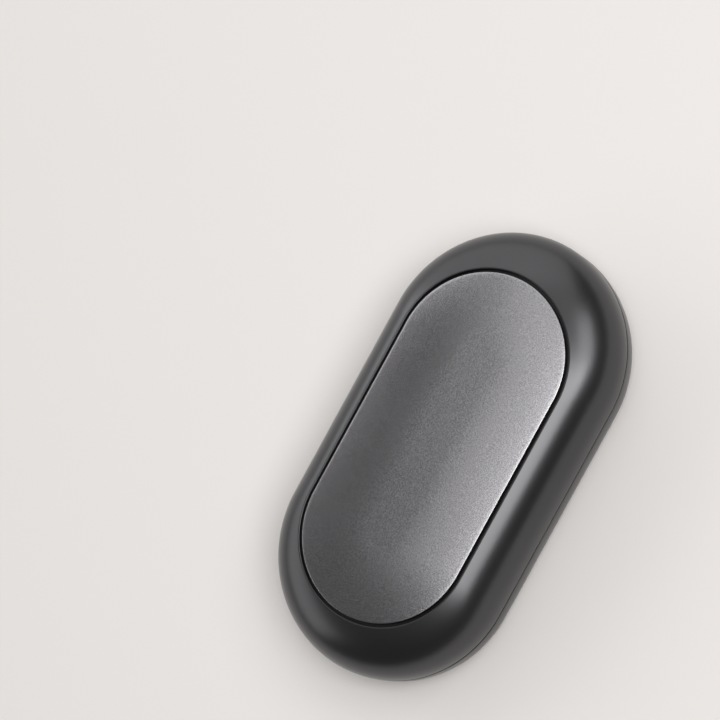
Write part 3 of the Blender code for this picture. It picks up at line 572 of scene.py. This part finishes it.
dress(("cell_guard_board",), board_finish("guard_board", guard_board_middle))
nickel = metal_finish(
    "nickel_tab", (0.52, 0.50, 0.46), (0.60, 0.58, 0.54), roughness=0.30, stretch=(1, 0.1, 1)
)
dress(("cell_tab_negative", "cell_tab_positive"), nickel)


# Main board and what is soldered to it
# A green board in the port end with the controller, the charger and a shielded inductor, and
# moulded nylon sockets for the heater, the cell and the cable to the button board.
moulding_grains_per_metre = 5200
moulding_grain_depth = 0.000008


def moulded_plastic(name, colour, lighter, roughness):
    """Plain moulded plastic with a fine spark-eroded grain."""
    finish = Finish(name, roughness)
    grain = finish.cloud(finish.place(), moulding_grains_per_metre, detail=2)
    finish.paint(finish.blend(grain, colour, lighter))
    return finish.relief(grain, moulding_grain_depth)


dress(("main_board",), board_finish("main_board_green", main_board_middle))
chip_plastic = moulded_plastic(
    "black_chip", (0.013, 0.013, 0.015), (0.021, 0.021, 0.023), roughness=0.48
)
dress(("controller_chip", "charger_chip"), chip_plastic)
ferrite = foam_finish(
    "dark_ferrite", (0.075, 0.075, 0.080), (0.045, 0.045, 0.048), per_metre=4200
)
dress(("power_inductor",), ferrite)
nylon = moulded_plastic("white_nylon", (0.60, 0.58, 0.52), (0.68, 0.66, 0.60), roughness=0.46)
dress(("heater_socket", "battery_socket", "battery_plug", "main_harness_socket"), nylon)


# Charging socket
# A drawn steel shell, open at its mouth, round a black tongue with gold contacts on both faces.
# It is soldered across the main board's edge and its mouth lies just inside the port.
socket_half_across = 0.00447
socket_half_tall = 0.00163
socket_mouth = -0.0482
socket_depth = 0.00735
socket_sheet = 0.0003
tongue_half_across = 0.0033
tongue_half_thick = 0.00035
tongue_reach = 0.0048
tongue_base_depth = 0.0012
tongue_base_margin = 0.0004
tongue_base_gap = 0.0001
contact_pitch = 0.0005
contact_half_span = 0.0029
contact_start = 0.0008
contact_tip_gap = 0.0006
contact_fade = 0.00005
socket_steps = 24
socket_mouth_steps = 6

socket_back = socket_mouth + socket_depth
can = Form(socket_half_tall, socket_half_across, socket_back, socket_steps).close()
for step in range(socket_mouth_steps + 1):
    angle = math.radians(180) * step / socket_mouth_steps
    draw_in = socket_sheet / 2 * (1 - math.cos(angle))
    forward = socket_sheet / 2 * math.sin(angle)
    height = socket_mouth + socket_sheet / 2 - forward
    can.to(socket_half_tall - draw_in, socket_half_across - draw_in, height)
hollow_back = socket_back - socket_sheet
can.to(socket_half_tall - socket_sheet, socket_half_across - socket_sheet, hollow_back).close()
can.place(upright(split_height))
socket_can = solid("socket_can", can.shape)
steel = metal_finish(
    "socket_steel", (0.50, 0.50, 0.51), (0.58, 0.58, 0.59), roughness=0.24, stretch=(1, 0.08, 1)
)
wear(socket_can, steel, stands_for=("socket_shell",))

base_back = hollow_back - tongue_base_gap
base_front = base_back - tongue_base_depth
blade_tip = base_front - tongue_reach
blade_round = tongue_half_thick * 0.6
base_half_tall = socket_half_tall - tongue_base_margin
base_half_across = socket_half_across - tongue_base_margin
tongue = Form(base_half_tall, base_half_across, base_back, socket_steps).close()
tongue.to(base_half_tall, base_half_across, base_front)
tongue.to(tongue_half_thick, tongue_half_across, base_front)
tongue.to(tongue_half_thick, tongue_half_across, blade_tip + blade_round)
tongue.to(tongue_half_thick * 0.8, tongue_half_across - blade_round / 3, blade_tip + blade_round / 3)
tongue.to(tongue_half_thick * 0.4, tongue_half_across - blade_round, blade_tip).close()
tongue.place(upright(split_height))
socket_blade = solid("socket_blade", tongue.shape)

contacts = Finish("contact_tongue", roughness=0.40)
x, y, z = contacts.axes(contacts.place((0, base_front, split_height)))
stripe = (0.30 - ((x / contact_pitch).part() - 0.5).size()).above(0.0, 0.04)
inside = (contact_half_span - x.size()).above(0.0, contact_fade)
on_face = z.size().above(tongue_half_thick * 0.85, tongue_half_thick * 0.95)
before_base = (0 - y).above(contact_start, contact_start + contact_fade)
behind_tip = (tongue_reach - contact_tip_gap + y).above(0.0, contact_fade)
gold = stripe * inside * on_face * (before_base * behind_tip)
contacts.paint(contacts.blend(gold, (0.012, 0.012, 0.013), (0.70, 0.50, 0.20)))
contacts.feed(contacts.shader.inputs["Metallic"], gold)
wear(socket_blade, contacts, stands_for=("socket_tongue",))


# Button board and switch
# A smaller green board in the other end with a side-acting switch: a black body, and a nylon
# plunger that travels with the power button.
dress(("button_board",), board_finish("button_board_green", button_board_middle))
dress(("button_harness_socket",), nylon)
black_plastic = moulded_plastic(
    "black_plastic", (0.010, 0.010, 0.011), (0.016, 0.016, 0.017), roughness=0.42
)
dress(("switch_body",), black_plastic)
dress(("switch_plunger",), nylon)


# Power button
# A pill-shaped cap on the parting line, in satin plastic a little darker than the casing's. Its
# face follows the end wall at the round ends and is flat between them. A flange behind both
# shells holds it in, and a stem on its back presses the switch.
button_half_across = 0.0060
button_half_tall = 0.0020
button_clearance = 0.0002
button_round = 0.00035
button_hole_round = 0.00022
button_sink = 0.0002
flange_border = 0.0008
flange_inset = 0.0026
flange_back = 0.0443
stem_radius = 0.0013
stem_stretch = 0.0001
stem_length = 0.0008
cap_middle_half_tall = 0.0002
cap_ring_shares = (0.3, 0.6, 1)
cap_steps = 32
cap_edge_steps = 6


def cap_face(down):
    """Height of the points of the button's face: the end wall's own curve, set back a little."""
    return lambda up, x: end_reach(x, split_height + up) - button_sink - down


def flange_face(up, x):
    """Height of the flange's face, which lies behind the inside of the end wall."""
    return end_centre + math.sqrt((half_width - flange_inset) ** 2 - x * x)


cap_straight = button_half_across - button_half_tall
middle_half_across = cap_straight + cap_middle_half_tall
cap = Form(cap_middle_half_tall, middle_half_across, cap_face(0), cap_steps).close()
for share in cap_ring_shares:
    out = share * (button_half_tall - button_round)
    cap.to(out, out + cap_straight, cap_face(0))
for near, far in rounded(cap_edge_steps)[1:]:
    out = button_round * far
    cap.to(button_half_tall - out, button_half_across - out, cap_face(button_round * near))
cap.to(button_half_tall, button_half_across, flange_face)
cap.to(button_half_tall + flange_border, button_half_across + flange_border, flange_face)
cap.to(button_half_tall + flange_border, button_half_across + flange_border, flange_back)
cap.to(stem_radius, stem_radius + stem_stretch, flange_back)
cap.to(stem_radius, stem_radius + stem_stretch, flange_back - stem_length).close()
cap.place(upright(split_height))
button = solid("power_button_cap", cap.shape)
button_finish = satin_plastic(
    "satin_button", (0.060, 0.060, 0.062), (0.066, 0.066, 0.068), roughness=0.34
)
wear(button, button_finish, "power_button", ("button_cap",))


# Charge lights and light pipe
# Four side-facing light chips on the button board's round edge shine into a milky clear bar.
# One pin of it stands in each hole beside the button, its end a hair below the casing's surface.
light_bar_inner = 0.0206
light_bar_depth = 0.0012
light_bar_half_tall = 0.0016
light_bar_margin = 0.0014
light_bar_steps = 32
light_from_button = 0.0028
light_pitch = 0.0025
light_count = 4
light_pin_radius = 0.0006
light_pin_steps = 12
light_pin_rings = ((1, 1), (0.93, 0.3), (0.7, 0))
light_hole_radius = 0.00075
light_hole_steps = 24
light_mouth_share = 1.6
light_mouth_rings = ((1.05, 0.5), (1, 1.5))
light_round = 0.0001
light_sink = 0.00008
lens_depth = 0.00001
haze_depth = 0.000004
light_flange_edge = math.asin((button_half_across + flange_border) / light_bar_inner)
light_first = light_flange_edge + light_from_button / light_bar_inner
light_step = light_pitch / light_bar_inner
light_angles = [light_first + light_step * index for index in range(light_count)]

chip_glow = Finish("light_chip", roughness=0.32)
lens = chip_glow.cells(chip_glow.place(), per_metre=900).above(0.1, 0.5)
chip_glow.paint(chip_glow.blend(lens, (0.80, 0.74, 0.42), (0.84, 0.82, 0.74)))
chip_glow.relief(lens, lens_depth)
dress(["charge_light_" + str(index + 1) for index in range(light_count)], chip_glow)


def pin_place(angle):
    """Lays a form's axis level on the parting line, pointing out of the +Y end at an angle."""
    turn = Matrix.Rotation(angle, 4, "Z") @ Matrix.Rotation(math.radians(-90), 4, "X")
    return Matrix.Translation((0, end_centre, split_height)) @ turn


def pin_end(angle, down):
    """Height of a pin's end or a light hole's mouth, which follows the casing's curve."""
    def reach(aside, up):
        across, along = outline(split_height - up)
        back = end_centre - (along - across)
        aside += back * math.sin(angle)
        return math.sqrt(across * across - aside * aside) - back * math.cos(angle) - down

    return reach


bar = bmesh.new()
profile = bmesh.ops.create_grid(bar, x_segments=1, y_segments=1, size=0.5)["verts"]
stand = Matrix.Rotation(math.radians(90), 4, "X")
size = Matrix.Diagonal((light_bar_depth, 2 * light_bar_half_tall, 1, 1))
out = Matrix.Translation((light_bar_inner + light_bar_depth / 2, 0, 0))
bmesh.ops.transform(bar, matrix=out @ stand @ size, verts=profile)
bar_angle = light_angles[-1] - light_angles[0] + 2 * light_bar_margin / light_bar_inner
bmesh.ops.spin(
    bar, geom=bar.verts[:] + bar.edges[:] + bar.faces[:], cent=(0, 0, 0), axis=(0, 0, 1),
    angle=bar_angle, steps=light_bar_steps,
)
bar_start = light_angles[0] - light_bar_margin / light_bar_inner
bar_turn = Matrix.Rotation(bar_start + math.radians(90), 4, "Z")
bar_middle = Matrix.Translation((0, end_centre, split_height))
bmesh.ops.transform(bar, matrix=bar_middle @ bar_turn, verts=bar.verts[:])
pin_foot = light_bar_inner + light_bar_depth / 2
for angle in light_angles:
    pin = Form(light_pin_radius, light_pin_radius, pin_foot, light_pin_steps, bar).close()
    for share, down_share in light_pin_rings:
        radius = light_pin_radius * share
        pin.to(radius, radius, pin_end(angle, light_sink + light_round * down_share))
    pin.close()
    pin.place(pin_place(angle))
clear_bar = solid("clear_light_bar", bar)
milky = Finish("milky_light_pipe", roughness=0.22)
haze = milky.cloud(milky.place(), per_metre=900, detail=2)
milky.paint(milky.blend(haze, (0.52, 0.53, 0.54), (0.62, 0.63, 0.64)))
milky.relief(haze, haze_depth)
wear(clear_bar, milky, stands_for=("light_pipe",))


# Screws and wiring
# Blackened steel screws, soft PVC leads from the cell and the heater, a thin white lead from
# the sensor, and a round black cable beside the cell between the two boards.
screw_count = 4
mottle_depth = 0.00001


def wire_finish(name, colour, lighter):
    """Soft PVC insulation, slightly mottled."""
    finish = Finish(name, roughness=0.44)
    mottle = finish.cloud(finish.place(), per_metre=1300, detail=2)
    finish.paint(finish.blend(mottle, colour, lighter))
    return finish.relief(mottle, mottle_depth)


screw_steel = metal_finish(
    "screw_steel", (0.15, 0.15, 0.16), (0.21, 0.21, 0.22), roughness=0.30, stretch=(1, 1, 0.2)
)
dress(["case_screw_" + str(index + 1) for index in range(screw_count)], screw_steel)
dress(["board_screw_" + str(index + 1) for index in range(screw_count)], screw_steel)
red_wire = wire_finish("red_wire", (0.42, 0.016, 0.012), (0.54, 0.026, 0.020))
dress(("battery_lead_red", "heater_lead_left", "heater_lead_right"), red_wire)
black_wire = wire_finish("black_wire", (0.012, 0.012, 0.013), (0.018, 0.018, 0.019))
dress(("battery_lead_black", "board_harness"), black_wire)
white_wire = wire_finish("white_wire", (0.56, 0.56, 0.55), (0.64, 0.64, 0.63))
dress(("sensor_lead",), white_wire)


# Front shell
# The casing's main moulding: a fat bull-nosed rim that runs in one curve from the parting line
# to the well's lip. The well's floor carries the heater and takes the four case screws.
front_round = 0.0001
front_edge_steps = 4
rim_steps = 48
roof_steps = 10
well_half_width = 0.0190
well_half_length = 0.0387
lip_round = 0.00015
lip_steps = 6
lip_border = 0.00002
ledge_top = 0.01835
bed_top = 0.01725
bed_bottom = 0.01585
pocket_half_width = 0.0170
pocket_half_length = 0.0367
rebate_top = tongue_top + seat_gap
bed_hole_radius = 0.0013
bed_hole_steps = 24
lead_slot_half_width = 0.0040
lead_slot_half_length = 0.0015
socket_room = 0.0010


def curve(rise, start, finish, steps):
    """Heights up a curve of the rim that would run level at a rise, closer where it is flat."""
    pairs = bull_nose(1, rise, rim_roundness, start - split_height, finish - split_height, steps)
    return [split_height + pair[1] for pair in pairs]


inside = (wall, roof_wall)
front = Form(*outline(bed_bottom, *inside), bed_bottom).close()
for height in reversed(curve(crest_rise - roof_wall, rebate_top, bed_bottom, roof_steps)[:-1]):
    front.to(*outline(height, *inside), height)
parting = split_height + split_gap / 2
front.to(half_width - lip_wall, half_length - lip_wall, rebate_top)
front.to(half_width - lip_wall, half_length - lip_wall, parting)
front.to(half_width - front_round, half_length - front_round, parting)
for near, far in rounded(front_edge_steps)[1:]:
    inset = front_round * far
    front.to(half_width - inset, half_length - inset, parting + front_round * near)
heights = curve(crest_rise, parting + front_round, rim_height, rim_steps)[1:]
for height in heights[:-1] + [rim_height - lip_border, rim_height]:
    front.to(*outline(height), height)
for near, far in rounded(lip_steps)[1:]:
    out = lip_round * far
    front.to(well_half_width + out, well_half_length + out, rim_height - lip_round * near)
front.to(well_half_width, well_half_length, ledge_top)
front.to(pocket_half_width, pocket_half_length, ledge_top)
front.to(pocket_half_width, pocket_half_length, bed_top).close()
front_shell = solid("front_casing", front.shape)


def port_tool():
    """The slot for the charging socket's mouth."""
    depth = half_length - wall - tongue_wall - socket_room
    return end_hole(port_half_tall, port_half_across, split_height, -1, port_round, depth)


def button_tool():
    """The hole that the power button moves in."""
    tall = button_half_tall + button_clearance
    across = button_half_across + button_clearance
    return end_hole(tall, across, split_height, 1, button_hole_round, flange_back)


def light_tools():
    """The round holes that the light pipe's pins stand in."""
    tools = bmesh.new()
    for angle in light_angles:
        wide = light_hole_radius * light_mouth_share
        mouth = pin_end(angle, -light_round * 2)
        hole = Form(wide, wide, mouth, light_hole_steps, tools).close()
        for share, down_share in light_mouth_rings:
            radius = light_hole_radius * share
            hole.to(radius, radius, pin_end(angle, light_round * down_share))
        hole.to(light_hole_radius, light_hole_radius, light_bar_inner).close()
        hole.place(pin_place(angle))
    return tools


for shell in (back_shell, front_shell):
    cut(shell, solid("port_tool", port_tool()))
    cut(shell, solid("button_tool", button_tool()))
    cut(shell, solid("light_tools", light_tools()))
bed_tools = bmesh.new()
below = bed_bottom - tool_overrun
above = bed_top + tool_overrun
for side in (-1, 1):
    for end in (-1, 1):
        hole = Form(bed_hole_radius, bed_hole_radius, below, bed_hole_steps, bed_tools).close()
        hole.to(bed_hole_radius, bed_hole_radius, above).close()
        hole.place(Matrix.Translation((side * boss_x, end * boss_y, 0)))
slot = Form(lead_slot_half_length, lead_slot_half_width, below, bed_hole_steps, bed_tools).close()
slot.to(lead_slot_half_length, lead_slot_half_width, above).close()
slot.place(Matrix.Translation((0, -boss_y, 0)) @ Matrix.Rotation(math.radians(90), 4, "Z"))
cut(front_shell, solid("bed_tools", bed_tools))
well_shape = (well_half_width, well_half_length - well_half_width)
# Painted shade: this finish also paints the walls of the well round the plate nearly black.
front_finish = casing_plastic("satin_grey_front", well_shape)
wear(front_shell, front_finish, stands_for=("front_shell",))


# Heater layers in the well
# Foam insulation on the well's floor, a temperature sensor in its channel, an amber film heater
# with an etched winding, and a ring of black tape that bonds the plate to the well's ledge.
winding_turns_per_metre = 650
winding_half_width = 0.0138
winding_fade = 0.0003
winding_depth = 0.00002

bed_foam = foam_finish(
    "insulation_foam", (0.100, 0.100, 0.105), (0.045, 0.045, 0.047), per_metre=2600
)
dress(("insulation_pad",), bed_foam)
dress(("temperature_sensor",), chip_plastic)
film = Finish("amber_film", roughness=0.28)
x, y = film.axes(film.place())[:2]
lines = (((y * winding_turns_per_metre).part() - 0.5).size() - 0.14).above(0.0, 0.05)
winding = lines * (winding_half_width - x.size()).above(0.0, winding_fade)
film.paint(film.blend(winding, (0.46, 0.19, 0.035), (0.30, 0.105, 0.020)))
film.relief(winding, winding_depth)
dress(("heater_film",), film)
tape = moulded_plastic("black_tape", (0.008, 0.008, 0.009), (0.014, 0.014, 0.015), roughness=0.62)
dress(("plate_tape",), tape)


# Heat plate
# An anodised aluminium plate, softly crowned and bead-blasted to a fine even grain. Its fine bevel is
# painted dark, a painted shade that tones down the bevel's highlight. It drops into the well with an
# even gap and is held by the tape under its border.
plate_half_width = 0.0183
plate_half_length = 0.0380
plate_bottom = 0.01885
plate_top = 0.02035
plate_crown = 0.0008
plate_level_share = 0.2
plate_round = 0.00012
plate_edge_steps = 4
plate_face_steps = 24
grains_per_metre = 4200
grain_depth = 0.000008
gloss_patches_per_metre = 55
plate_roughness = 0.22

plate = Form(plate_half_width, plate_half_length, plate_bottom).close()
for near, far in rounded(plate_edge_steps):
    inset = plate_round * near
    drop = plate_crown + plate_round * far
    plate.to(plate_half_width - inset, plate_half_length - inset, plate_top - drop)
face_half_width = plate_half_width - plate_round
for step in range(1, plate_face_steps + 1):
    share = 1 - step / plate_face_steps
    inset = plate_round + face_half_width * (1 - plate_level_share) * (1 - share)
    plate.to(plate_half_width - inset, plate_half_length - inset, plate_top - plate_crown * share**2)
plate.close()
heat_plate = solid("blasted_heat_plate", plate.shape)

blasted = Finish("blasted_dark_plate", plate_roughness, metallic=1.0)
place = blasted.place()
grain = blasted.cloud(place, grains_per_metre, detail=1)
drift = blasted.cloud(place, gloss_patches_per_metre, detail=2)
x, y = blasted.axes(place)[:2]
along = (y.size() - (plate_half_length - plate_half_width)).at_least(0)
# Painted shade: the bevel is painted dark to tone down its highlight.
edge = (x * x + along * along).root().above(plate_half_width - plate_round, plate_half_width)
speckle = grain.spread(low=0.25, contrast=2)
face = blasted.blend(speckle, (0.415, 0.407, 0.422), (0.675, 0.663, 0.689))
blasted.paint(blasted.blend(edge, face, (0.060, 0.059, 0.061)))
blasted.feed(blasted.shader.inputs["Roughness"], drift * 0.03 + plate_roughness)
blasted.relief(grain, grain_depth)
wear(heat_plate, blasted, stands_for=("heat_plate",))


# Floor
# A plain pale tabletop that fills the view and carries the soft shadow.
floor_half_size = 3.0

floor_mesh = bpy.data.meshes.new("floor")
floor_shape = bmesh.new()
bmesh.ops.create_grid(floor_shape, x_segments=1, y_segments=1, size=floor_half_size)
floor_shape.to_mesh(floor_mesh)
floor_shape.free()
floor = bpy.data.objects.new("floor", floor_mesh)
bpy.context.scene.collection.objects.link(floor)
pale = Finish("pale_floor", roughness=0.9, specular=0.1)
cloudy = pale.cloud(pale.place(), per_metre=6, detail=3)
pale.paint(pale.blend(cloudy, (0.700, 0.672, 0.652), (0.713, 0.685, 0.664)))
floor_mesh.materials.append(pale.material)


# Light
# Six soft boxes a metre from the piece in a dim room: a strong one high on the +X side, one next
# to it, one high over the button end, low wide ones beside that end and on the -X side, and a
# small one overhead.
def soft_box(name, bearing, climb, across, along, power):
    """A rectangular soft light a metre away at a bearing and a climb in degrees, facing the piece."""
    level = math.cos(math.radians(climb))
    bearing = math.radians(bearing)
    place = Vector((level * math.cos(bearing), level * math.sin(bearing), math.sin(math.radians(climb))))
    lamp = bpy.data.lights.new(name, "AREA")
    lamp.shape = "RECTANGLE"
    lamp.size = across
    lamp.size_y = along
    lamp.energy = power
    made = bpy.data.objects.new(name, lamp)
    made.matrix_world = Matrix.Translation(place) @ place.to_track_quat("Z", "Y").to_matrix().to_4x4()
    bpy.context.scene.collection.objects.link(made)


soft_box("key_box", bearing=10, climb=61, across=0.60, along=0.64, power=6.9)
soft_box("corner_box", bearing=50, climb=45, across=0.60, along=0.40, power=2.4)
soft_box("fill_box", bearing=99, climb=70, across=0.84, along=0.94, power=1.3)
soft_box("end_box", bearing=140, climb=28, across=1.84, along=0.90, power=5.8)
soft_box("left_box", bearing=206, climb=23, across=1.40, along=0.50, power=3.2)
soft_box("top_box", bearing=0, climb=89.9, across=0.50, along=0.20, power=0.45)

room = bpy.data.worlds.new("room")
room.use_nodes = True
backdrop = room.node_tree.nodes["Background"]
backdrop.inputs["Color"].default_value = (0.90, 0.89, 0.88, 1)
backdrop.inputs["Strength"].default_value = 0.08
bpy.context.scene.world = room
bpy.context.scene.view_settings.view_transform = "Standard"


# Camera
# A long lens looking down on the plate from the right, rolled so that the piece stands diagonally.
lens_millimetres = 104.8
sensor_millimetres = 36
camera_place = (0.17248, 0.01764, 0.40373)

camera_data = bpy.data.cameras.new("camera")
camera_data.lens = lens_millimetres
camera_data.sensor_width = sensor_millimetres
camera_right = Vector((0.777, 0.479, -0.408)).normalized()
camera_back = Vector((0.454, 0.022, 0.890))
camera_back = (camera_back - camera_right * camera_back.dot(camera_right)).normalized()
camera_up = camera_back.cross(camera_right)
camera = bpy.data.objects.new("camera", camera_data)
turned = Matrix((camera_right, camera_up, camera_back)).transposed().to_4x4()
camera.matrix_world = Matrix.Translation(camera_place) @ turned
bpy.context.scene.collection.objects.link(camera)
bpy.context.scene.camera = camera
